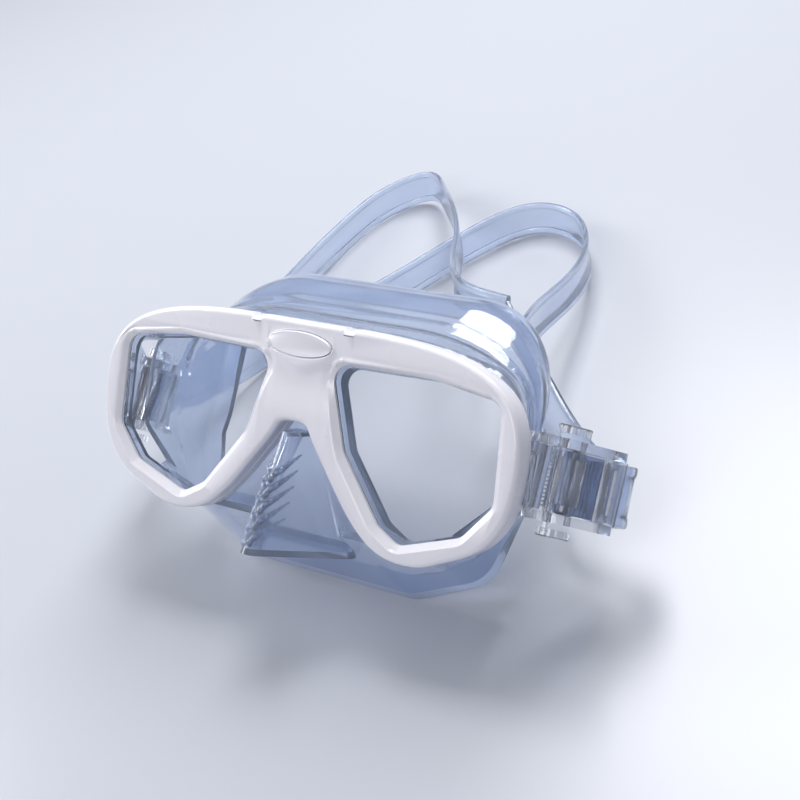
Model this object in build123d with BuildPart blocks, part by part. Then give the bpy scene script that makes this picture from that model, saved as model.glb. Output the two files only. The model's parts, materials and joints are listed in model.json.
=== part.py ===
from build123d import *
import os

# Two-lens diving mask with a nose pocket and a split head strap, in millimetres.
#
# The mask itself is drawn upright: X across the face, Y from the front of the frame
# towards the face, Z up, with Z = 0 at the lowest points of the two rims. It is then
# stood in its resting pose: leaning back on the lower edge of the skirt, with the
# strap loops lying on edge on the floor behind it.

# Resting pose
LEAN = 38.0            # how far the mask leans back, degrees
LIFT = 31.13           # height of the mask's own origin over the floor
ROW_X = -5.47          # centre of the whole outline across
ROW_Y = 97.94          # centre of the whole outline front to back

# Front and rear frame
BEZEL_DEPTH = 4.4      # front frame, front face to seam
FRAME_DEPTH = 7.6      # rear face of the rear frame
SEAM_SCALE = 0.993     # the rear frame's outline against the front frame's, for the seam line
LIP_DEPTH = 2.6        # thickness of the lip in front of each lens
BEZEL_EDGE = 1.6       # rounding of the outer front edge
WINDOW_SLOPE = 1.7     # sloping rim round each window
BADGE_PROUD = 0.5      # how far the badge stands in front of the frame
BADGE_LENGTH = 24.0    # oval badge on the bridge
BADGE_HEIGHT = 7.5
BADGE_DEPTH = 1.2
BADGE_Z = 57.5
FIT_GAP = 0.1          # gap between pieces that are clamped together

# Lenses and the gasket of the skirt round them
LENS_THICK = 3.2       # tempered glass
LENS_SEAT = 1.2        # how far a lens reaches under the lip
GASKET = 0.9           # rubber between the lens edge and the frame
CORNER = 5.2           # corner radius of a window

# Skirt
WALL = 2.0             # wall of the skirt
RIM_LAP = 9.0          # width of the seal turned in at the rear rim
RIM_TILT = -11.4       # the rear rim plane leans, nearer the frame at the lip
RIM_Y = 36.0           # the rear rim plane at Z = RIM_Z
RIM_Z = 20.0

# Nose pocket, as a ridge and two flanks between two level sections
NOSE_TOP_Z = 31.0
NOSE_LOW_Z = -5.0
NOSE_WALL = 1.6

# Strap
BAND_WIDTH = 12.5      # one band of the split strap
BAND_THICK = 2.0
STRAP_WIDTH = 17.5     # the single strap in the buckle
STRAP_THICK = 1.6
SPLIT_GAP = 1.5        # between the two bands at the split
STRAP_GAP = 0.6        # between the head strap and the end that swings with the buckle

# Buckle, in its own axes: x along it from the hinge, y towards the head, z along the hinge
HINGE_AT = (76.5, 15.2, 31.0)
BUCKLE_LEAN = 12.0     # the hinge leans back, degrees
BUCKLE_YAW = 64.0      # direction of the buckle, degrees from straight out to the side
RAIL_IN = 9.3          # inner face of each side rail
RAIL_OUT = 12.0        # outer face of each side rail
BUCKLE_END = 26.0      # end of the rails behind the hinge
PIN_R = 1.25           # hinge pin
AXLE_R = 1.05          # roller axle
PAWL_PIN_R = 0.8
STEM_R = 1.0           # stem of a release button
RUNNING = 0.05         # radial clearance of what turns or slides
ROLLER_X = 12.5
ROLLER_R = 2.6
ROLLER_HALF = 9.1      # half length of the roller
BARREL_R = 3.2         # anchor barrel round the hinge pin
BARREL_HALF = 9.0      # half length of the barrel
ANCHOR_HEIGHT = 13.0   # arm of the anchor on the back of the frame
ANCHOR_ARM = 4.4
ANCHOR_PAD = 1.2       # pad of the anchor against the rear frame: thickness, size and corners
PAD_WIDTH = 6.0
PAD_HEIGHT = 16.0
PLATE_CORNER = 1.5
HEAD_R = 4.2           # rounded heads of the rails over the hinge
RAIL_WIDTH = 13.2
# Cross bars between the rails, as ((x, y) of the middle, (length, thickness))
END_PLATE = ((22.4, -5.9), (7.2, 1.4))
STRAP_BAR = ((24.6, 0.0), (2.4, 2.4))
INNER_PLATE = ((14.0, 5.9), (9.0, 1.4))
PLATE_SLOT = ((22.0, -5.9), (1.8, 3.0))
SLOT_HALF = 6.5        # half length of the slot in the end plate
PAWL_AT = (5.6, -2.2)
PAWL_HALF = 6.6        # half width of the pawl
PAWL_HUB_R = 1.6
PAWL_OUTLINE = [(4.6, -3.4), (10.4, -6.6), (12.0, -6.6), (12.0, -4.8), (10.0, -5.0), (6.6, -1.4)]
STEM_AT = (6.2, 1.6)
STEM_REACH = 8.3       # where a stem ends inside the buckle
BUTTON_X = 10.2        # middle of a button cap
BUTTON_TRAVEL = 1.5
BUTTON_CLEAR = 0.2     # left under a cap that is pushed right in
CAP_LENGTH = 10.6
CAP_WIDTH = 7.0
CAP_DEPTH = 2.2
SPRING_WALL = 0.3
TAIL_END = 20.0        # where the strap's tail starts to curl
TAIL_RADIUS = 12.0
TAIL_TURN = 25.0

os.makedirs("parts", exist_ok=True)

FLOOR = Location((-ROW_X, -ROW_Y, 0))            # from the strap's own origin to the part's
LEANED = Location((0, 0, LIFT), (-LEAN, 0, 0))   # from the upright mask to the strap's origin
STANCE = FLOOR * LEANED
ROLLER_WRAP = ROLLER_R + 0.15 + STRAP_THICK / 2   # middle of the strap round the roller


def save(solid, name, place=STANCE):
    """Stand a finished piece in the resting pose, label it and write it."""
    standing = solid.moved(place)
    standing.label = name
    export_step(standing, f"parts/{name}.step")


def save_pair(solid, name):
    """Write a piece of the wearer's left side and its mirror image on the right."""
    save(solid, f"{name}_left")
    save(mirror(solid, about=Plane.YZ), f"{name}_right")


def face_plane(depth):
    """The plane across the face at a depth behind the front of the frame."""
    return Plane(origin=(0, depth, 0), x_dir=(1, 0, 0), z_dir=(0, -1, 0))


# The outline of the frame: brow, outer side and lower rim, then the nose arch.
OUTER_SIDE = [(0, 64.5), (36, 64), (55, 61.5), (66, 57.8), (74.5, 51.5), (78.6, 43), (79.2, 30),
              (77, 19), (69.5, 9), (56.5, 2.4), (44, -0.5)]
NOSE_ARCH = [(44, -0.5), (33, 2), (23.5, 9.5), (13.5, 21.5), (6.5, 31), (0, 34)]
# One window, as the corners of its opening.
WINDOW = [(11.0, 53.4), (48, 54), (71.5, 50.8), (72.3, 22), (63, 11.5), (42, 4.6), (34, 9), (19, 28)]


def frame_outline(size):
    """Face of the whole frame, scaled about its origin."""
    with BuildSketch() as sketch:
        with BuildLine():
            Spline(*OUTER_SIDE, tangents=[(1, 0), (-1, 0)])
            Spline(*NOSE_ARCH, tangents=[(-1, 0), (-1, 0)])
            mirror(about=Plane.YZ)
        make_face()
        scale(by=size)
    return sketch.sketch


def windows(grow):
    """Faces of both windows, grown all round."""
    with BuildSketch() as sketch:
        with BuildLine():
            Polyline(*WINDOW, close=True)
        make_face()
        fillet(sketch.vertices(), CORNER)
        if grow:
            offset(amount=grow)
        mirror(about=Plane.YZ)
    return sketch.sketch


SEAT = windows(LENS_SEAT + GASKET + FIT_GAP)

with BuildPart() as front_frame:
    with BuildSketch(face_plane(0)):
        add(frame_outline(1))
        add(windows(0), mode=Mode.SUBTRACT)
    extrude(amount=-LIP_DEPTH)
    with BuildSketch(face_plane(LIP_DEPTH)):
        add(frame_outline(1))
        add(SEAT, mode=Mode.SUBTRACT)
    extrude(amount=-(BEZEL_DEPTH - LIP_DEPTH))
    with BuildSketch(face_plane(0)):
        with Locations((0, BADGE_Z)):
            Ellipse(BADGE_LENGTH / 2 + FIT_GAP, BADGE_HEIGHT / 2 + FIT_GAP)
    extrude(amount=-BADGE_DEPTH, mode=Mode.SUBTRACT)
    front = front_frame.faces().sort_by(Axis.Y)[0]
    fillet(front.outer_wire().edges(), BEZEL_EDGE)
    front = front_frame.faces().filter_by(GeomType.PLANE).sort_by(Axis.Y)[0]
    for rim in front.inner_wires():
        if rim.bounding_box().size.X > BADGE_LENGTH + 1:
            chamfer(rim.edges(), WINDOW_SLOPE)
save(front_frame.part, "front_frame")

with BuildPart() as bridge_badge:
    with BuildSketch(face_plane(-BADGE_PROUD)):
        with Locations((0, BADGE_Z)):
            Ellipse(BADGE_LENGTH / 2, BADGE_HEIGHT / 2)
    extrude(amount=-(BADGE_DEPTH + BADGE_PROUD))
save(bridge_badge.part, "bridge_badge")

with BuildPart() as rear_frame:
    with BuildSketch(face_plane(BEZEL_DEPTH + FIT_GAP)):
        add(frame_outline(SEAM_SCALE))
        add(SEAT, mode=Mode.SUBTRACT)
    extrude(amount=-(FRAME_DEPTH - BEZEL_DEPTH - FIT_GAP))
save(rear_frame.part, "rear_frame")

with BuildPart() as lens:
    with BuildSketch(face_plane(LIP_DEPTH + FIT_GAP)):
        add(windows(LENS_SEAT))
        with Locations((-100, 0)):
            Rectangle(200, 400, mode=Mode.SUBTRACT)
    extrude(amount=-LENS_THICK)
save_pair(lens.part, "lens")


def hull_sketch(circles, shrink):
    """Rounded face wrapped round circles and their mirror images, with radii cut down."""
    with BuildSketch() as sketch:
        for x, y, r in circles:
            with Locations((x, y), (-x, y)):
                Circle(r - shrink)
        make_hull()
    return sketch.sketch


# Circles (across, up, radius) that the skirt's outline is wrapped round.
SKIRT_FRONT = [(56, 42, 16), (61.5, 27, 10.5), (42, 14.5, 13)]
SKIRT_REAR = [(34, 28, 29), (40, 0, 24), (47, -18, 13), (30, -24, 14)]
REAR_PLANE = Plane(origin=(0, RIM_Y, RIM_Z), x_dir=(1, 0, 0), z_dir=(0, -1, 0)).rotated((RIM_TILT, 0, 0))
# Circles (across, back, radius) of the nose pocket: the ridge, then a flank.
NOSE_TOP = [(0, -0.5, 2.0), (2.0, 11, 2.5)]
NOSE_LOW = [(0, -11.5, 4.0), (15, 11, 5.0)]
SKIRT_Y = FRAME_DEPTH + FIT_GAP


with BuildPart() as skirt:
    with BuildSketch(face_plane(SKIRT_Y)):
        add(hull_sketch(SKIRT_FRONT, 0))
    with BuildSketch(REAR_PLANE):
        add(hull_sketch(SKIRT_REAR, 0))
    loft()
    with BuildSketch(Plane.XY.offset(NOSE_TOP_Z)):
        add(hull_sketch(NOSE_TOP, 0))
    with BuildSketch(Plane.XY.offset(NOSE_LOW_Z)):
        add(hull_sketch(NOSE_LOW, 0))
    loft()
    with BuildSketch(face_plane(SKIRT_Y + WALL)):
        add(hull_sketch(SKIRT_FRONT, WALL))
    with BuildSketch(REAR_PLANE.offset(WALL)):
        add(hull_sketch(SKIRT_REAR, WALL))
    loft(mode=Mode.SUBTRACT)
    with BuildSketch(Plane.XY.offset(NOSE_TOP_Z - NOSE_WALL)):
        add(hull_sketch(NOSE_TOP, NOSE_WALL))
    with BuildSketch(Plane.XY.offset(NOSE_LOW_Z + NOSE_WALL)):
        add(hull_sketch(NOSE_LOW, NOSE_WALL))
    loft(mode=Mode.SUBTRACT)
    with BuildSketch(REAR_PLANE.offset(-WALL)):
        add(hull_sketch(SKIRT_REAR, RIM_LAP))
    extrude(amount=3 * WALL, mode=Mode.SUBTRACT)
    with BuildSketch(face_plane(LIP_DEPTH + FIT_GAP)):
        add(windows(LENS_SEAT + GASKET))
    extrude(amount=-(SKIRT_Y - LIP_DEPTH - FIT_GAP))
    with BuildSketch(face_plane(LIP_DEPTH)):
        add(windows(LENS_SEAT + FIT_GAP / 2))
    extrude(amount=-(LENS_THICK + 2 * FIT_GAP), mode=Mode.SUBTRACT)
    with BuildSketch(face_plane(LIP_DEPTH)):
        add(windows(-0.5))
    extrude(amount=-(SKIRT_Y + WALL), mode=Mode.SUBTRACT)
save(skirt.part, "skirt")


# The buckle of the wearer's left side, about its own hinge axis.
HINGE_PLANE = Plane(origin=HINGE_AT).rotated((0, 0, BUCKLE_YAW)).rotated((-BUCKLE_LEAN, 0, 0))


def level(height):
    """The plane across the buckle at a height along its hinge."""
    return HINGE_PLANE.offset(height)


with BuildPart() as buckle_anchor:
    with BuildSketch(level(-BARREL_HALF)):
        Circle(BARREL_R)
    extrude(amount=2 * BARREL_HALF)
    with BuildSketch(Plane.XY.offset(HINGE_AT[2] - ANCHOR_HEIGHT / 2)):
        with Locations((HINGE_AT[0], (SKIRT_Y + HINGE_AT[1]) / 2)):
            Rectangle(ANCHOR_ARM, HINGE_AT[1] - SKIRT_Y)
    extrude(amount=ANCHOR_HEIGHT)
    with BuildSketch(face_plane(SKIRT_Y)):
        with Locations((HINGE_AT[0], HINGE_AT[2])):
            RectangleRounded(PAD_WIDTH, PAD_HEIGHT, PLATE_CORNER)
    extrude(amount=-ANCHOR_PAD)
    with BuildSketch(level(-RAIL_OUT)):
        Circle(PIN_R)
    extrude(amount=2 * RAIL_OUT, mode=Mode.SUBTRACT)
save_pair(buckle_anchor.part, "buckle_anchor")

with BuildPart() as hinge_pin:
    with BuildSketch(level(-RAIL_OUT)):
        Circle(PIN_R)
    extrude(amount=2 * RAIL_OUT)
save_pair(hinge_pin.part, "hinge_pin")

with BuildPart() as buckle_body:
    for base in (-RAIL_OUT, RAIL_IN):
        with BuildSketch(level(base)):
            Circle(HEAD_R)
            with Locations((HEAD_R, 0)):
                Rectangle(2 * HEAD_R, 2 * HEAD_R)
            with Locations((BUCKLE_END / 2 + HEAD_R / 2, 0)):
                RectangleRounded(BUCKLE_END - HEAD_R, RAIL_WIDTH, PLATE_CORNER)
            Circle(PIN_R + RUNNING, mode=Mode.SUBTRACT)
            with Locations((ROLLER_X, 0)):
                Circle(AXLE_R, mode=Mode.SUBTRACT)
            with Locations(PAWL_AT):
                Circle(PAWL_PIN_R, mode=Mode.SUBTRACT)
            with Locations(STEM_AT):
                Circle(STEM_R + RUNNING, mode=Mode.SUBTRACT)
        extrude(amount=RAIL_OUT - RAIL_IN)
    with BuildSketch(level(-RAIL_IN)):
        for place, size in (END_PLATE, STRAP_BAR, INNER_PLATE):
            with Locations(place):
                Rectangle(*size)
    extrude(amount=2 * RAIL_IN)
    with BuildSketch(level(-SLOT_HALF)):
        with Locations(PLATE_SLOT[0]):
            Rectangle(*PLATE_SLOT[1])
    extrude(amount=2 * SLOT_HALF, mode=Mode.SUBTRACT)
save_pair(buckle_body.part, "buckle_body")

with BuildPart() as strap_roller:
    with BuildSketch(level(-ROLLER_HALF)):
        with Locations((ROLLER_X, 0)):
            Circle(ROLLER_R)
            Circle(AXLE_R + RUNNING, mode=Mode.SUBTRACT)
    extrude(amount=2 * ROLLER_HALF)
save_pair(strap_roller.part, "strap_roller")

with BuildPart() as roller_axle:
    with BuildSketch(level(-RAIL_OUT)):
        with Locations((ROLLER_X, 0)):
            Circle(AXLE_R)
    extrude(amount=2 * RAIL_OUT)
save_pair(roller_axle.part, "roller_axle")

with BuildPart() as locking_pawl:
    with BuildSketch(level(-PAWL_HALF)):
        with BuildLine():
            Polyline(*PAWL_OUTLINE, close=True)
        make_face()
        with Locations(PAWL_AT):
            Circle(PAWL_HUB_R)
            Circle(PAWL_PIN_R + RUNNING, mode=Mode.SUBTRACT)
    extrude(amount=2 * PAWL_HALF)
save_pair(locking_pawl.part, "locking_pawl")

with BuildPart() as pawl_pin:
    with BuildSketch(level(-RAIL_OUT)):
        with Locations(PAWL_AT):
            Circle(PAWL_PIN_R)
    extrude(amount=2 * RAIL_OUT)
save_pair(pawl_pin.part, "pawl_pin")

for side in ("upper", "lower"):
    flip = 1 if side == "upper" else -1
    half = Plane(origin=HINGE_PLANE.origin, x_dir=HINGE_PLANE.x_dir, z_dir=HINGE_PLANE.z_dir * flip)
    with BuildPart() as release_button:
        with BuildSketch(half.offset(RAIL_OUT + BUTTON_TRAVEL + BUTTON_CLEAR)):
            with Locations((BUTTON_X, 0)):
                SlotOverall(CAP_LENGTH, CAP_WIDTH)
        extrude(amount=CAP_DEPTH)
        with BuildSketch(half.offset(STEM_REACH)):
            with Locations((STEM_AT[0], STEM_AT[1] * flip)):
                Circle(STEM_R)
        extrude(amount=RAIL_OUT + BUTTON_TRAVEL + CAP_DEPTH / 2 - STEM_REACH)
    save_pair(release_button.part, f"release_button_{side}")

with BuildPart() as button_spring:
    with BuildSketch(level(-STEM_REACH)):
        with Locations(STEM_AT):
            Circle(STEM_R)
            Circle(STEM_R - SPRING_WALL, mode=Mode.SUBTRACT)
    extrude(amount=2 * STEM_REACH)
save_pair(button_spring.part, "button_spring")

with BuildPart() as strap_end:
    with BuildSketch(level(-STRAP_WIDTH / 2)):
        with BuildLine():
            head_run = Line((BUCKLE_END, -ROLLER_WRAP), (ROLLER_X, -ROLLER_WRAP))
            wrap = ThreePointArc(head_run @ 1, (ROLLER_X - ROLLER_WRAP, 0), (ROLLER_X, ROLLER_WRAP))
            tail_run = Line(wrap @ 1, (TAIL_END, ROLLER_WRAP))
            JernArc(tail_run @ 1, tail_run % 1, TAIL_RADIUS, TAIL_TURN)
        trace(line_width=STRAP_THICK)
    extrude(amount=STRAP_WIDTH)
save_pair(strap_end.part, "strap_end")

# The head strap, in the resting pose: a single strap out of each buckle, then two bands
# that lie on edge on the floor. The upper band crosses over the lower one.
EXIT_RUNS = (0, 1.5, 3)   # straight out of the buckle
# The left strap then turns round the end of the buckle, in the buckle's own axes.
TURN_ROUND = [(32.8, -1.6), (34.2, 3.4), (31.5, 9.5)]
EXIT_UP = HINGE_PLANE.z_dir.rotate(Axis.X, -LEAN)
BAND_UP = Vector(0, 0.2, 1).normalized()
BAND_SHIFT = (BAND_WIDTH + SPLIT_GAP) / 2
SPLIT_LEFT = Vector(28, 97, 38)
SPLIT_RIGHT = Vector(-88, 104, 13.6)
SPLIT_WIDTH = 2 * BAND_WIDTH + SPLIT_GAP
BAND_LAP = Vector(2, -0.5, 0)     # each band starts this far inside the single strap
LOWER_LAP = Vector(0, 2, 0)


def ribbon(path, stations, ups, widths):
    """Flat strap on edge along a path, as four long faces and two ends."""
    corners = [[], [], [], []]
    for step in range(stations + 1):
        share = step / stations
        along = path % share
        across = along.cross(ups[0] * (1 - share) + ups[1] * share).normalized() * BAND_THICK / 2
        rise = across.cross(along).normalized() * (widths[0] * (1 - share) + widths[1] * share) / 2
        for corner, (a, b) in zip(corners, ((-1, -1), (1, -1), (1, 1), (-1, 1))):
            corner.append(path @ share + across * a + rise * b)
    edges = [strap_path(*corner) for corner in corners]
    faces = [Face.make_surface_from_curves(edges[i], edges[(i + 1) % 4]) for i in range(4)]
    faces += [Face(Wire.make_polygon([corner[end] for corner in corners])) for end in (0, -1)]
    return Solid(Shell(faces))


def mirrored(point):
    return Vector(-point.X, point.Y, point.Z)


def strap_path(*points):
    """Smooth path through points, paced by the distances between them."""
    points = [Vector(point) for point in points]
    paces = [0.0]
    for before, after in zip(points, points[1:]):
        paces.append(paces[-1] + (after - before).length)
    return Edge.make_spline(points, parameters=[pace / paces[-1] for pace in paces])


def beside_buckle(along, inwards):
    """A point in the middle of the left strap near its buckle, in the strap's axes."""
    return (LEANED * Location(HINGE_PLANE.from_local_coords(Vector(along, inwards, 0)))).position


exit_left = [beside_buckle(BUCKLE_END + STRAP_GAP + run, -ROLLER_WRAP) for run in EXIT_RUNS]
exit_right = [mirrored(point) for point in exit_left]
turn_left = [beside_buckle(*point) for point in TURN_ROUND]
left_single = strap_path(*exit_left, *turn_left, (70, 57, 26), (58, 67.5, 30), (44, 81, 34), SPLIT_LEFT)
right_single = strap_path(*exit_right, (-95.5, 62, 22), (-93, 82, 17), SPLIT_RIGHT)
upper_band = strap_path(SPLIT_LEFT + BAND_UP * BAND_SHIFT + BAND_LAP, (9, 104, 43), (-19, 139, 33), (-45, 173, 22.5),
                    (-68, 198, 12.5), (-85, 209, 8), (-97, 200, 6.5), (-103, 178, 6.5), (-103, 150, 8),
                    (-97, 127, 13), SPLIT_RIGHT + BAND_UP * BAND_SHIFT - LOWER_LAP)
lower_band = strap_path(SPLIT_LEFT - BAND_UP * BAND_SHIFT + BAND_LAP, (23, 116, 25), (17, 150, 14), (6, 181, 7.5),
                    (-9, 196, 6.5), (-26, 198, 6.5), (-43, 180, 6.5), (-55, 155, 6.5), (-68, 130, 6.5),
                    SPLIT_RIGHT - BAND_UP * BAND_SHIFT - LOWER_LAP)

with BuildPart() as head_strap:
    add(ribbon(left_single, 28, (EXIT_UP, BAND_UP), (STRAP_WIDTH, SPLIT_WIDTH)))
    add(ribbon(right_single, 10, (EXIT_UP, BAND_UP), (STRAP_WIDTH, SPLIT_WIDTH)))
    add(ribbon(upper_band, 40, (BAND_UP, BAND_UP), (BAND_WIDTH, BAND_WIDTH)))
    add(ribbon(lower_band, 40, (BAND_UP, BAND_UP), (BAND_WIDTH, BAND_WIDTH)))
save(head_strap.part, "head_strap", FLOOR)
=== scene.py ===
import json
from math import cos, pi, radians, sin

import bmesh
import bpy
import numpy as np
from mathutils import Matrix, Vector
from mathutils.bvhtree import BVHTree


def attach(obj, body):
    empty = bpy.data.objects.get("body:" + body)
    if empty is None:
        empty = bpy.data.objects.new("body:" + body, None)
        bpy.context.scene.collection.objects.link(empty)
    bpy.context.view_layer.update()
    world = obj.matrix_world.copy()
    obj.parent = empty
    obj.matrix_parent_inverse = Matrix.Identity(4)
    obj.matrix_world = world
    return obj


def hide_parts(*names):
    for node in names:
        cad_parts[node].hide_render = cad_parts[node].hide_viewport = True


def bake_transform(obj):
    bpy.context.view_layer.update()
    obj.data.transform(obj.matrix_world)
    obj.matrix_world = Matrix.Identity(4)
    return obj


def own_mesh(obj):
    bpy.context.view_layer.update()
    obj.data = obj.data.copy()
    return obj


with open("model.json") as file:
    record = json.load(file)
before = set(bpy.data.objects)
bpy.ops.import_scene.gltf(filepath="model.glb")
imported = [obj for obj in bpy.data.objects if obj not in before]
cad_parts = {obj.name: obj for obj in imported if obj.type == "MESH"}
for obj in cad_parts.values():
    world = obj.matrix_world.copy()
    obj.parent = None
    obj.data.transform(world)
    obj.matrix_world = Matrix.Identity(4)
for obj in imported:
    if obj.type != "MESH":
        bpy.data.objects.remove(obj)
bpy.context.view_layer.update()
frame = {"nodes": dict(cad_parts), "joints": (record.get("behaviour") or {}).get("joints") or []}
mm = 0.001

# Studio: a wide pale floor under a pale sky, one large soft light over the back of the mask,
# one from the left and a weaker one in front, and the camera above the wearer's left side.
floor_shape = bmesh.new()
bmesh.ops.create_grid(floor_shape, x_segments=1, y_segments=1, size=4.0)
floor_mesh = bpy.data.meshes.new("studio_floor")
floor_shape.to_mesh(floor_mesh)
floor_shape.free()
floor_paint = bpy.data.materials.new("pale_floor")
floor_paint.use_nodes = True
floor_shader = floor_paint.node_tree.nodes["Principled BSDF"]
floor_shader.inputs["Base Color"].default_value = (0.50, 0.52, 0.58, 1)
floor_shader.inputs["Roughness"].default_value = 0.28
floor_mesh.materials.append(floor_paint)
studio_floor = bpy.data.objects.new("studio_floor", floor_mesh)
bpy.context.collection.objects.link(studio_floor)

studio_sky = bpy.data.worlds.new("studio_sky")
studio_sky.use_nodes = True
studio_sky.node_tree.nodes["Background"].inputs["Color"].default_value = (0.78, 0.82, 0.92, 1)
studio_sky.node_tree.nodes["Background"].inputs["Strength"].default_value = 0.26
bpy.context.scene.world = studio_sky

for name, place, size, power in (
    ("light_over_back", (-0.10, 0.50, 0.75), 0.50, 9.0),
    ("light_from_left", (-0.75, -0.15, 0.45), 0.40, 3.6),
    ("light_in_front", (0.10, -0.80, 0.80), 0.45, 3.4),
):
    softbox = bpy.data.lights.new(name, "AREA")
    softbox.size = size
    softbox.energy = power
    lamp = bpy.data.objects.new(name, softbox)
    lamp.location = place
    lamp.rotation_mode = "QUATERNION"
    lamp.rotation_quaternion = (-Vector(place)).to_track_quat("-Z", "Y")
    bpy.context.collection.objects.link(lamp)

camera_lens = bpy.data.cameras.new("studio_camera")
camera_lens.lens = 72.1
camera_lens.clip_start = 0.01
studio_camera = bpy.data.objects.new("studio_camera", camera_lens)
studio_camera.location = (0.3030, -0.3284, 0.3395)
studio_camera.rotation_euler = (radians(51.8), radians(15.7), radians(32.96))
bpy.context.collection.objects.link(studio_camera)
bpy.context.scene.camera = studio_camera
bpy.context.scene.view_settings.view_transform = "Standard"


# Front frame: one glossy white moulding with a raised brow that carries the badge, a sunk
# neck between the lenses and small snap notches in its top edge. Modelled upright, then stood
# in the resting pose, which leans back on the skirt.
lean_back = radians(38)
stand = Matrix.Translation((5.47 * mm, -97.94 * mm, 31.13 * mm)) @ Matrix.Rotation(-lean_back, 4, "X")
lip_depth = 2.6 * mm
rim_rounding, rim_loop = 0.7 * mm, 0.3 * mm    # round the windows
strip = 1.2 * mm                               # width of the strips that carry the relief
brow_edge, brow_rise, brow_half = 50.6 * mm, 3.6 * mm, 13 * mm
brow_blend = 2.2 * mm
neck_sunk, neck_foot, neck_tall = 1.3 * mm, 36 * mm, 14 * mm
neck_half, neck_blend = 15 * mm, 4 * mm
notch_span = (15.8 * mm, 19.8 * mm)
notch_top, notch_deep, notch_wall, notch_lead = 62.9 * mm, 0.9 * mm, 0.2 * mm, 0.5 * mm


def cad_copy(node):
    """Welded copy of a CAD piece, stood upright, with its flat faces whole."""
    shape = bmesh.new()
    shape.from_mesh(frame["nodes"][node].data)
    bmesh.ops.remove_doubles(shape, verts=shape.verts, dist=0.0005 * mm)
    bmesh.ops.dissolve_limit(shape, angle_limit=radians(0.5), verts=shape.verts, edges=shape.edges)
    shape.transform(stand.inverted())
    return shape


def soften(share):
    """Smooth step from 0 to 1."""
    share = min(max(share, 0.0), 1.0)
    return share * share * (3 - 2 * share)


def slice_shape(shape, across, places):
    """Cut a shape into strips by planes square to an axis."""
    for place in places:
        bmesh.ops.bisect_plane(shape, geom=shape.verts[:] + shape.edges[:] + shape.faces[:],
                               dist=1e-7, plane_co=across * place, plane_no=across)


def round_edges(shape, radius, steps=3, sharper=50, within=None):
    """Round the sharp edges of a shape."""
    sharp = [edge for edge in shape.edges if edge.is_manifold and edge.calc_face_angle(0) > radians(sharper)
             and (within is None or within(edge))]
    bmesh.ops.bevel(shape, geom=sharp, offset=radius, offset_type="OFFSET", segments=steps,
                    profile=0.5, affect="EDGES", material=-1, clamp_overlap=True, loop_slide=True)


def new_piece(shape, name, material, nodes, body=None, crease=38, place=stand):
    """Stand a finished shape in its place, shade it and let it stand for its CAD nodes."""
    shape.transform(place)
    if place.determinant() < 0:
        bmesh.ops.recalc_face_normals(shape, faces=shape.faces)
    for face in shape.faces:
        face.smooth = True
    for edge in shape.edges:
        edge.smooth = edge.calc_face_angle(pi) < radians(crease)
    mesh = bpy.data.meshes.new(name)
    shape.to_mesh(mesh)
    shape.free()
    mesh.materials.append(material)
    piece = bpy.data.objects.new(name, mesh)
    bpy.context.collection.objects.link(piece)
    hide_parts(*nodes)
    if body:
        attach(piece, body)
    return piece


def moulded_finish():
    """Node group: fine moulding grain, slow waves and smudges, read from object coordinates."""
    group = bpy.data.node_groups.new("moulded_finish", "ShaderNodeTree")
    for name, value in (("Grain Scale", 1500.0), ("Wave Scale", 60.0), ("Wave Share", 0.5),
                        ("Rough Low", 0.1), ("Rough High", 0.3)):
        socket = group.interface.new_socket(name, in_out="INPUT", socket_type="NodeSocketFloat")
        socket.default_value = value
    for name in ("Roughness", "Height", "Tone"):
        group.interface.new_socket(name, in_out="OUTPUT", socket_type="NodeSocketFloat")
    nodes, links = group.nodes, group.links
    given = nodes.new("NodeGroupInput")
    result = nodes.new("NodeGroupOutput")
    where = nodes.new("ShaderNodeTexCoord")
    grain = nodes.new("ShaderNodeTexNoise")
    waves = nodes.new("ShaderNodeTexNoise")
    smudges = nodes.new("ShaderNodeTexNoise")
    smudges.inputs["Scale"].default_value = 35.0
    smudges.inputs["Detail"].default_value = 5.0
    links.new(given.outputs["Grain Scale"], grain.inputs["Scale"])
    links.new(given.outputs["Wave Scale"], waves.inputs["Scale"])
    for texture in (grain, waves, smudges):
        links.new(where.outputs["Object"], texture.inputs["Vector"])
    spread = nodes.new("ShaderNodeMapRange")
    spread.inputs["From Min"].default_value = 0.35
    spread.inputs["From Max"].default_value = 0.7
    links.new(smudges.outputs["Fac"], spread.inputs["Value"])
    links.new(given.outputs["Rough Low"], spread.inputs["To Min"])
    links.new(given.outputs["Rough High"], spread.inputs["To Max"])
    blend = nodes.new("ShaderNodeMix")
    links.new(given.outputs["Wave Share"], blend.inputs["Factor"])
    links.new(grain.outputs["Fac"], blend.inputs["A"])
    links.new(waves.outputs["Fac"], blend.inputs["B"])
    links.new(spread.outputs["Result"], result.inputs["Roughness"])
    links.new(blend.outputs["Result"], result.inputs["Height"])
    links.new(smudges.outputs["Fac"], result.inputs["Tone"])
    return group


finish_group = moulded_finish()


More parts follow.
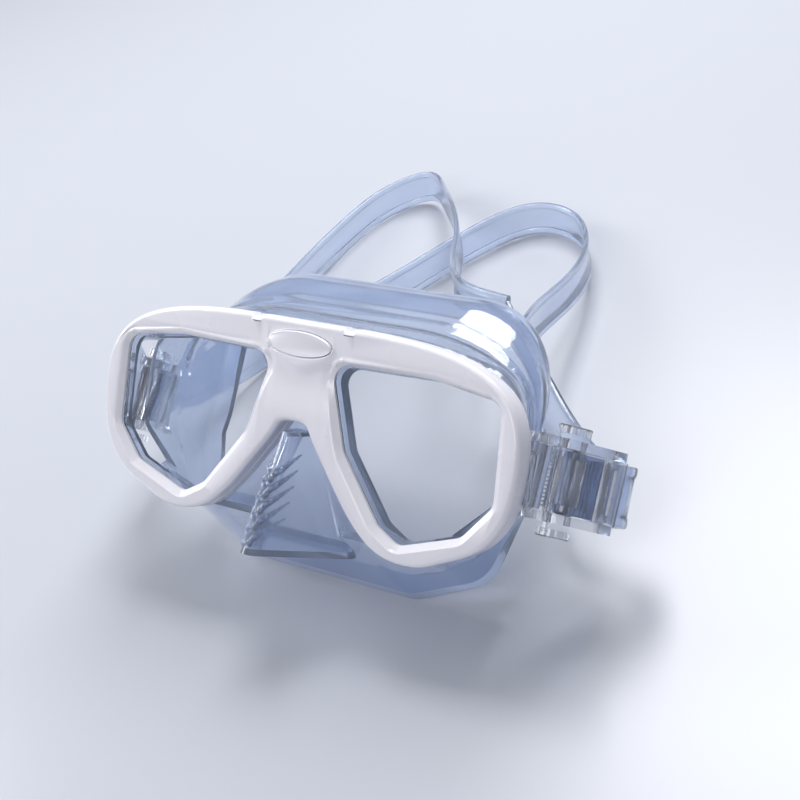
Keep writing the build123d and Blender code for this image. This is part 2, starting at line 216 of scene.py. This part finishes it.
def moulded_material(name, light, dark, plain, varied, bump):
    """Principled material with the moulded finish: tone between two colours, roughness and bump."""
    material = bpy.data.materials.new(name)
    material.use_nodes = True
    nodes, links = material.node_tree.nodes, material.node_tree.links
    shader = nodes["Principled BSDF"]
    for socket, value in plain.items():
        shader.inputs[socket].default_value = value
    finish = nodes.new("ShaderNodeGroup")
    finish.node_tree = finish_group
    for socket, value in varied.items():
        finish.inputs[socket].default_value = value
    tone = nodes.new("ShaderNodeMix")
    tone.data_type = "RGBA"
    tone.inputs["A"].default_value = (*light, 1)
    tone.inputs["B"].default_value = (*dark, 1)
    links.new(finish.outputs["Tone"], tone.inputs["Factor"])
    links.new(tone.outputs["Result"], shader.inputs["Base Color"])
    links.new(finish.outputs["Roughness"], shader.inputs["Roughness"])
    relief = nodes.new("ShaderNodeBump")
    relief.inputs["Strength"].default_value = bump
    relief.inputs["Distance"].default_value = 0.3 * mm
    links.new(finish.outputs["Height"], relief.inputs["Height"])
    links.new(relief.outputs["Normal"], shader.inputs["Normal"])
    return material


white_plastic = moulded_material(
    "white_plastic", (0.93, 0.92, 0.97), (0.88, 0.87, 0.95),
    {"IOR": 1.5, "Coat Weight": 0.35, "Coat Roughness": 0.08},
    {"Grain Scale": 1800.0, "Wave Scale": 45.0, "Wave Share": 0.5, "Rough Low": 0.2, "Rough High": 0.34},
    0.12)

bezel = cad_copy("front_frame")
round_edges(bezel, rim_rounding, sharper=30,
            within=lambda edge: all(vert.co.y < 0.05 * mm for vert in edge.verts))
flat_front = [face for face in bezel.faces
              if face.normal.y < -0.99 and all(vert.co.y < 0.01 * mm for vert in face.verts)]
for loop in range(2):
    bmesh.ops.inset_region(bezel, faces=flat_front, thickness=rim_loop, depth=0.0, use_even_offset=False)
slice_shape(bezel, Vector((1, 0, 0)), [step * strip for step in range(-13, 14)])
slice_shape(bezel, Vector((1, 0, 0)), [side * (edge + step) for side in (-1, 1)
                                       for edge in notch_span for step in (-notch_wall, notch_wall)])
slice_shape(bezel, Vector((0, 0, 1)), [neck_foot + step * strip for step in range(19)])
slice_shape(bezel, Vector((0, 0, 1)), [notch_top - notch_lead, notch_top])
for vert in bezel.verts:
    across, depth, height = abs(vert.co.x), vert.co.y, vert.co.z
    front = soften(1 - depth / lip_depth)
    edge = brow_edge + brow_rise * soften(across / brow_half)
    sunk = soften((edge - height) / brow_blend) * soften((height - neck_foot) / neck_tall)
    vert.co.y += neck_sunk * sunk * front * soften((neck_half - across) / neck_blend)
    if notch_span[0] < across < notch_span[1] and height > notch_top - 0.1 * mm:
        vert.co.z -= notch_deep
new_piece(bezel, "bezel", white_plastic, ["front_frame"], "mask_core")

# Bridge badge: a bare oval plate with softly rounded edges, pressed into the brow.
badge_edge = 0.35 * mm
badge_plate = cad_copy("bridge_badge")
round_edges(badge_plate, badge_edge)
new_piece(badge_plate, "badge_plate", white_plastic, ["bridge_badge"], "mask_core")

# Rear frame: the white moulding behind the seam, which clamps the skirt and the lenses
# against the front frame.
back_frame_edge = 0.5 * mm
back_frame = cad_copy("rear_frame")
round_edges(back_frame, back_frame_edge)
new_piece(back_frame, "back_frame", white_plastic, ["rear_frame"], "mask_core")

# Lenses: two flat panes of clear tempered glass with ground edges.
clear_glass = moulded_material(
    "clear_glass", (0.985, 0.992, 1.0), (0.96, 0.98, 0.995),
    {"IOR": 1.5, "Transmission Weight": 1.0},
    {"Grain Scale": 900.0, "Wave Scale": 20.0, "Wave Share": 1.0, "Rough Low": 0.0, "Rough High": 0.02},
    0.004)
ground_edge = 0.3 * mm
for side in ("left", "right"):
    pane = cad_copy(f"lens_{side}")
    round_edges(pane, ground_edge, steps=2)
    new_piece(pane, f"pane_{side}", clear_glass, [f"lens_{side}"], "mask_core", crease=12)

# Skirt: one moulding of clear bluish silicone. Its walls have a groove behind the frame, a
# crease and a swell before the face seal, and the nose pocket has raised chevrons for grip.
clear_silicone = moulded_material(
    "clear_silicone", (0.80, 0.865, 0.985), (0.67, 0.765, 0.955),
    {"IOR": 1.41, "Transmission Weight": 0.86, "Coat Weight": 0.25, "Coat Roughness": 0.05},
    {"Grain Scale": 700.0, "Wave Scale": 42.0, "Wave Share": 0.85, "Rough Low": 0.06, "Rough High": 0.16},
    0.18)
skirt_front = 7.7 * mm
seal_depth, seal_height, seal_slope = 36 * mm, 20 * mm, 0.2016    # the seal leans away from the frame
core_half, core_height = 35 * mm, 25 * mm                         # the walls swell away from this line
crown_start, crown_blend = 32 * mm, 14 * mm
flank_share, flank_start, flank_blend, flank_foot = 0.2, 50 * mm, 10 * mm, 15 * mm
first_slice, slice_gap, slice_count = 8.5, 1.3, 30
# Swell of the wall in millimetres, at shares of the way from the frame to the seal.
swells = [(0.0, 0.0), (0.1, -1.1), (0.24, 1.3), (0.4, 0.8), (0.5, -0.8), (0.58, 0.6), (0.8, 2.2),
          (0.94, 1.0), (1.0, 0.0)]


def swell(share):
    """How far the skirt's wall stands out, from the frame at 0 to the seal at 1."""
    for (low, out), (high, further) in zip(swells, swells[1:]):
        if low <= share <= high:
            return (out + (further - out) * soften((share - low) / (high - low))) * mm
    return 0.0


face_skirt = cad_copy("skirt")
slice_shape(face_skirt, Vector((0, 1, 0)),
            [(first_slice + slice_gap * step) * mm for step in range(slice_count)])
for vert in face_skirt.verts:
    across, depth, height = vert.co
    seal = seal_depth + seal_slope * (height - seal_height)
    share = (depth - skirt_front) / (seal - skirt_front)
    middle = min(max(across, -core_half), core_half)
    outward = Vector((across - middle, 0, height - core_height)).normalized()
    crown = soften((height - crown_start) / crown_blend)
    flank = flank_share * soften((abs(across) - flank_start) / flank_blend) * soften(height / flank_foot)
    vert.co += outward * swell(share) * max(crown, flank)

# Nose chevrons: five pairs of tapering grip ribs, moulded on both sides of the nose ridge as
# rows of flattened beads that run into each other.
ridge_top, ridge_low = Vector((0, -2.5, 31)) * mm, Vector((0, -15.5, -5)) * mm
first_rib, rib_step, ribs = 0.36, 0.13, 5
beads, bead_large, bead_taper = 6, 1.6, 1.1
bead_shape = Matrix.Diagonal((1.9, 0.8, 0.7, 1))
skirt_surface = BVHTree.FromBMesh(face_skirt)
for rib in range(ribs):
    start = ridge_top.lerp(ridge_low, first_rib + rib_step * rib)
    for side in (-1, 1):
        reach = Vector((side * 7.5, 6.5, 7.0)) * mm
        along = reach.normalized()
        for bead in range(beads):
            share = bead / (beads - 1)
            spot, normal = skirt_surface.find_nearest(start + reach * share)[:2]
            turn = Matrix((along, normal.cross(along).normalized(), normal)).transposed().to_4x4()
            bmesh.ops.create_uvsphere(
                face_skirt, u_segments=10, v_segments=6, radius=(bead_large - bead_taper * share) * mm,
                matrix=Matrix.Translation(spot) @ turn @ bead_shape)
new_piece(face_skirt, "face_skirt", clear_silicone, ["skirt"], "mask_core", crease=45)

# Head strap: clear silicone ribbons with raised rims and a thinner panel between them. A single
# strap leaves each buckle and splits into two bands that lie on edge behind the mask.
band_width, single_width = 12.5 * mm, 17.5 * mm
strap_thick, panel_thick = 2.0 * mm, 1.15 * mm
split_gap = 1.5 * mm
split_width = 2 * band_width + split_gap
band_up = Vector((0, 0.2, 1)).normalized()
row_back = Vector((5.47, -97.94, 0)) * mm
split_left = Vector((28, 97, 38)) * mm + row_back
split_right = Vector((-88, 104, 13.6)) * mm + row_back
joints = {joint["name"]: joint for joint in frame["joints"]}
# Half of a strap's section, as (share of the half width, share of the half thickness).
rim_section = [(-1.0, 0.3), (-0.985, 0.72), (-0.94, 0.95), (-0.88, 1.0), (-0.76, 1.0), (-0.70, 0.93),
               (-0.65, 0.7), (-0.60, 0.6)]
rim_end, slope_foot = -0.7, 0.6    # where the rim slopes down to the panel, and the foot of that slope
glance = 0.002                     # how far along the path its direction is read, as a share


def strap_section(panel):
    """Closed section of a strap, as (share of the half width, half thickness) all round."""
    left = [(out, up if out < rim_end else panel + (up - slope_foot) / (1 - slope_foot) * (1 - panel))
            for out, up in rim_section]
    top = left + [(-out, up) for out, up in reversed(left)]
    return top + [(out, -up) for out, up in reversed(top)]


def paced_path(points):
    """Smooth path through points, paced by the distances between them."""
    places = np.array([point[:] for point in points])
    runs = np.diff(places, axis=0)
    gaps = np.linalg.norm(runs, axis=1)
    knots = np.concatenate(([0.0], np.cumsum(gaps)))
    count = len(points)
    system, turns_needed = np.zeros((count, count)), np.zeros((count, 3))
    system[0, 0] = system[-1, -1] = 1.0
    for i in range(1, count - 1):
        system[i, i - 1:i + 2] = gaps[i - 1], 2 * (gaps[i - 1] + gaps[i]), gaps[i]
        turns_needed[i] = 6 * (runs[i] / gaps[i] - runs[i - 1] / gaps[i - 1])
    bends = np.linalg.solve(system, turns_needed)

    def place(share):
        run = share * knots[-1]
        i = min(max(int(np.searchsorted(knots, run)) - 1, 0), count - 2)
        a, b, gap = knots[i + 1] - run, run - knots[i], gaps[i]
        return Vector((bends[i] * a ** 3 + bends[i + 1] * b ** 3) / (6 * gap)
                      + (places[i] / gap - bends[i] * gap / 6) * a
                      + (places[i + 1] / gap - bends[i + 1] * gap / 6) * b)

    return place


def strap_shape(points, stations, ups, widths):
    """A strap on edge along a path, turned from the first up to the last, with closed ends."""
    section = strap_section(panel_thick / strap_thick)
    around = len(section)
    place = paced_path(points)
    shape = bmesh.new()
    bmesh.ops.create_grid(shape, x_segments=stations, y_segments=around, size=0.5)
    for vert in shape.verts:
        share, turn = vert.co.x + 0.5, round((vert.co.y + 0.5) * around) % around
        along = (place(min(share + glance, 1)) - place(max(share - glance, 0))).normalized()
        across = along.cross(ups[0].lerp(ups[1], share)).normalized()
        rise = across.cross(along)
        width = widths[0] + (widths[1] - widths[0]) * share
        vert.co = (place(share) + rise * section[turn][0] * width / 2
                   + across * section[turn][1] * strap_thick / 2)
    bmesh.ops.remove_doubles(shape, verts=shape.verts, dist=0.001 * mm)
    bmesh.ops.holes_fill(shape, edges=shape.edges, sides=0)
    bmesh.ops.recalc_face_normals(shape, faces=shape.faces)
    return shape


def buckle_frame(side):
    """A buckle's own axes: x from the hinge to the roller, z up along the hinge, y towards the
    mask. The right buckle's axes are the left one's mirror image."""
    hinge = joints[f"buckle_swing_{side}"]
    roller = joints[f"roller_spin_{side}"]
    along = (Vector(roller["pos_m"]) - Vector(hinge["pos_m"])).normalized()
    upward = Vector(roller["axis"]).normalized()
    mirrored = 1 if side == "left" else -1
    matrix = Matrix((along, upward.cross(along) * mirrored, upward)).transposed().to_4x4()
    return Matrix.Translation(Vector(hinge["pos_m"])) @ matrix


wrap = 3.55 * mm                                         # the strap's middle, from the roller's
tail_starts = 26                                         # where a strap end takes over, in its buckle's axes
turn_round = [(32.8, -1.6), (34.2, 3.4), (31.5, 9.5)]    # round the left buckle's end, in the same axes
for side, last, route in (
    ("left", split_left, [(70, 57, 26), (58, 67.5, 30), (44, 81, 34)]),
    ("right", split_right, [(-95.5, 62, 22), (-93, 82, 17)]),
):
    buckle = buckle_frame(side)
    leaving = [buckle @ Vector(((tail_starts + run) * mm, -wrap, 0)) for run in (0, 2, 3.6)]
    turning = [buckle @ (Vector((*spot, 0)) * mm) for spot in turn_round] if side == "left" else []
    points = leaving + turning + [Vector(point) * mm + row_back for point in route] + [last]
    shape = strap_shape(points, 120, (buckle.to_3x3() @ Vector((0, 0, 1)), band_up),
                        (single_width, split_width))
    piece = new_piece(shape, f"strap_single_{side}", clear_silicone, ["head_strap"],
                      place=Matrix.Identity(4))
    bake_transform(piece)

# Where the bands run into the single straps, each one starts a little inside them.
band_shift = (band_width + split_gap) / 2
lap = Vector((2, -0.5, 0)) * mm
end_lap = Vector((0, 2, 0)) * mm
for name, rise, route in (
    ("strap_band_upper", band_up * band_shift, [
        (9, 104, 43), (-19, 139, 33), (-45, 173, 22.5), (-68, 198, 12.5), (-85, 209, 8), (-97, 200, 6.5),
        (-103, 178, 6.5), (-103, 150, 8), (-97, 127, 13)]),
    ("strap_band_lower", -band_up * band_shift, [
        (23, 116, 25), (17, 150, 14), (6, 181, 7.5), (-9, 196, 6.5), (-26, 198, 6.5), (-43, 180, 6.5),
        (-55, 155, 6.5), (-68, 130, 6.5)]),
):
    points = [split_left + rise + lap] + [Vector(point) * mm + row_back for point in route]
    points += [split_right + rise - end_lap]
    shape = strap_shape(points, 220, (band_up, band_up), (band_width, band_width))
    new_piece(shape, name, clear_silicone, ["head_strap"], "mask_core",
              place=Matrix.Identity(4))

# Buckles: clear hard plastic. Each hangs on a barrel on the rear frame, and holds a roller that
# the strap runs round, a pawl that grips the strap's ribs and two caps that lift the pawl.
hard_plastic = moulded_material(
    "hard_plastic", (0.95, 0.96, 0.99), (0.88, 0.90, 0.96),
    {"IOR": 1.49, "Transmission Weight": 0.9, "Coat Weight": 0.2, "Coat Roughness": 0.03},
    {"Grain Scale": 1300.0, "Wave Scale": 90.0, "Wave Share": 0.6, "Rough Low": 0.03, "Rough High": 0.12},
    0.1)
# CAD piece: (name here, body it moves with, rounding of its edges in millimetres)
buckle_parts = {
    "buckle_anchor": ("anchor", "mask_core", 0.4),
    "hinge_pin": ("hinge_rod", "mask_core", 0.2),
    "buckle_body": ("buckle_housing", "buckle", 0.35),
    "strap_roller": ("roller", "roller", 0.3),
    "roller_axle": ("roller_rod", "buckle", 0.15),
    "locking_pawl": ("pawl", "pawl", 0.2),
    "pawl_pin": ("pawl_rod", "buckle", 0.12),
}
for side in ("left", "right"):
    for node, (name, body, rounding) in buckle_parts.items():
        part = cad_copy(f"{node}_{side}")
        round_edges(part, rounding * mm)
        new_piece(part, f"{name}_{side}", hard_plastic, [f"{node}_{side}"],
                  body if body == "mask_core" else f"{body}_{side}")

# Release buttons: oval caps with scalloped edges above and below each buckle, on short stems
# that reach the spring between them.
cap_length, cap_width, cap_depth = 10.6 * mm, 7.0 * mm, 2.2 * mm
cap_near, cap_middle = 13.7 * mm, 10.2 * mm
stem_end, stem_radius = 8.3 * mm, 1.0 * mm
stem_at = (6.2 * mm, 1.6 * mm)
scallops, scallop_deep, steps_per_scallop = 16, 0.32 * mm, 6
oval_pull = 2.2                                 # how soon a point of the circle moves to an end of the oval
cap_rim, dish_rim = (0.7 * mm, 0.25 * mm), (0.5 * mm, -0.35 * mm)    # width and rise of the lid's two loops


def button_shape(flip):
    """A cap with a scalloped edge and a dished top, on its stem. flip is 1 above and -1 below."""
    shape = bmesh.new()
    ring = bmesh.ops.create_circle(shape, cap_ends=True, segments=scallops * steps_per_scallop,
                                   radius=cap_width / 2)["verts"]
    straight = (cap_length - cap_width) / 2
    for number, vert in enumerate(ring):
        angle = 2 * pi * number / len(ring)
        reach = cap_width / 2 - scallop_deep * (0.5 - 0.5 * cos(scallops * angle))
        shift = straight * max(-1.0, min(1.0, oval_pull * cos(angle)))
        vert.co = Vector((cos(angle) * reach + shift, sin(angle) * reach, 0))
    top = bmesh.ops.extrude_face_region(shape, geom=shape.faces[:])["geom"]
    lifted = [item for item in top if isinstance(item, bmesh.types.BMVert)]
    bmesh.ops.translate(shape, verts=lifted, vec=(0, 0, cap_depth))
    bmesh.ops.recalc_face_normals(shape, faces=shape.faces)
    lid = max(shape.faces, key=lambda face: face.calc_center_median().z * (len(face.verts) > 8))
    for width, rise in (cap_rim, dish_rim):
        bmesh.ops.inset_region(shape, faces=[lid], thickness=width, depth=rise)
    bmesh.ops.translate(shape, verts=shape.verts, vec=(cap_middle, 0, cap_near))
    tall = cap_near + cap_depth / 2 - stem_end
    bmesh.ops.create_cone(
        shape, cap_ends=True, segments=24, radius1=stem_radius, radius2=stem_radius, depth=tall,
        matrix=Matrix.Translation((stem_at[0], stem_at[1] * flip, stem_end + tall / 2)))
    return shape


for side in ("left", "right"):
    for level, flip in (("upper", 1), ("lower", -1)):
        button = button_shape(flip)
        button.transform(Matrix.Diagonal((1, 1, flip, 1)))
        bmesh.ops.recalc_face_normals(button, faces=button.faces)
        new_piece(button, f"button_{level}_{side}", hard_plastic,
                  [f"release_button_{level}_{side}"], f"button_{level}_{side}", place=buckle_frame(side))

# Button springs: fine stainless wire, coiled between the two stems of each buckle.
spring_wire = moulded_material(
    "spring_wire", (0.80, 0.81, 0.83), (0.62, 0.63, 0.66), {"Metallic": 1.0},
    {"Grain Scale": 2500.0, "Wave Scale": 300.0, "Wave Share": 0.3, "Rough Low": 0.2, "Rough High": 0.35}, 0.1)
wire_radius, coil_radius = 0.15 * mm, 0.85 * mm
turns, steps_per_turn = 14, 14
for side in ("left", "right"):
    buckle = buckle_frame(side)
    coil = bmesh.new()
    travel = 2 * (stem_end - wire_radius)
    start = bmesh.ops.create_circle(
        coil, cap_ends=True, segments=8, radius=wire_radius,
        matrix=Matrix.Translation((coil_radius, 0, -travel / 2)) @ Matrix.Rotation(pi / 2, 4, "X"))["verts"]
    faces = list({face for vert in start for face in vert.link_faces})
    edges = list({edge for vert in start for edge in vert.link_edges})
    bmesh.ops.spin(coil, geom=start + edges + faces, cent=(0, 0, 0), axis=(0, 0, 1),
                   dvec=(0, 0, travel / (turns * steps_per_turn)), angle=2 * pi * turns,
                   steps=turns * steps_per_turn, use_merge=False, use_duplicate=False)
    bmesh.ops.recalc_face_normals(coil, faces=coil.faces)
    bmesh.ops.translate(coil, verts=coil.verts, vec=(*stem_at, 0))
    wire = new_piece(coil, f"spring_coil_{side}", spring_wire, [f"button_spring_{side}"],
                     f"buckle_{side}", place=buckle)
    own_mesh(wire)

# Strap ends: the strap's ribbed tails. Each comes into the buckle along its outer side, where the
# pawl drops between the ribs, goes round the roller and leaves along the inner side.
strap_half, plain_edge = 8.75 * mm, 3 * mm
rib_pitch, rib_long, rib_tall, rib_rounding = 1.7 * mm, 0.9 * mm, 0.35 * mm, 0.16 * mm
first_row, outer_ribs, inner_ribs, curved_ribs = 0.6, 7, 4, 4
tail_straight, tail_radius, tail_turn = 20 * mm, 12 * mm, radians(25)
first_curved_rib = 0.3
roller_x, strap_skin, tail_edge = 12.5 * mm, 0.8 * mm, 0.35 * mm


def add_rib(shape, spot, lean):
    """One rounded rib across the strap, at a spot in the buckle's axes."""
    size = Matrix.Diagonal((rib_long, 2 * rib_tall, 2 * strap_half - plain_edge, 1))
    made = bmesh.ops.create_cube(
        shape, size=1.0, matrix=Matrix.Translation((*spot, 0)) @ Matrix.Rotation(lean, 4, "Z") @ size)["verts"]
    edges = list({edge for vert in made for edge in vert.link_edges})
    bmesh.ops.bevel(shape, geom=edges, offset=rib_rounding, offset_type="OFFSET", segments=2, profile=0.5,
                    affect="EDGES", material=-1)


for side in ("left", "right"):
    buckle = buckle_frame(side)
    tail = cad_copy(f"strap_end_{side}")
    round_edges(tail, tail_edge)
    tail.transform(buckle.inverted() @ stand)
    for across, count in ((-wrap - strap_skin, outer_ribs), (wrap + strap_skin, inner_ribs)):
        for number in range(count):
            add_rib(tail, (roller_x + (number + first_row) * rib_pitch, across), 0.0)
    for number in range(curved_ribs):
        lean = tail_turn * (number + first_curved_rib) / curved_ribs
        reach = tail_radius - strap_skin
        add_rib(tail, (tail_straight + reach * sin(lean), wrap + tail_radius - reach * cos(lean)), lean)
    new_piece(tail, f"strap_tail_{side}", clear_silicone, [f"strap_end_{side}"],
              f"buckle_{side}", place=buckle)
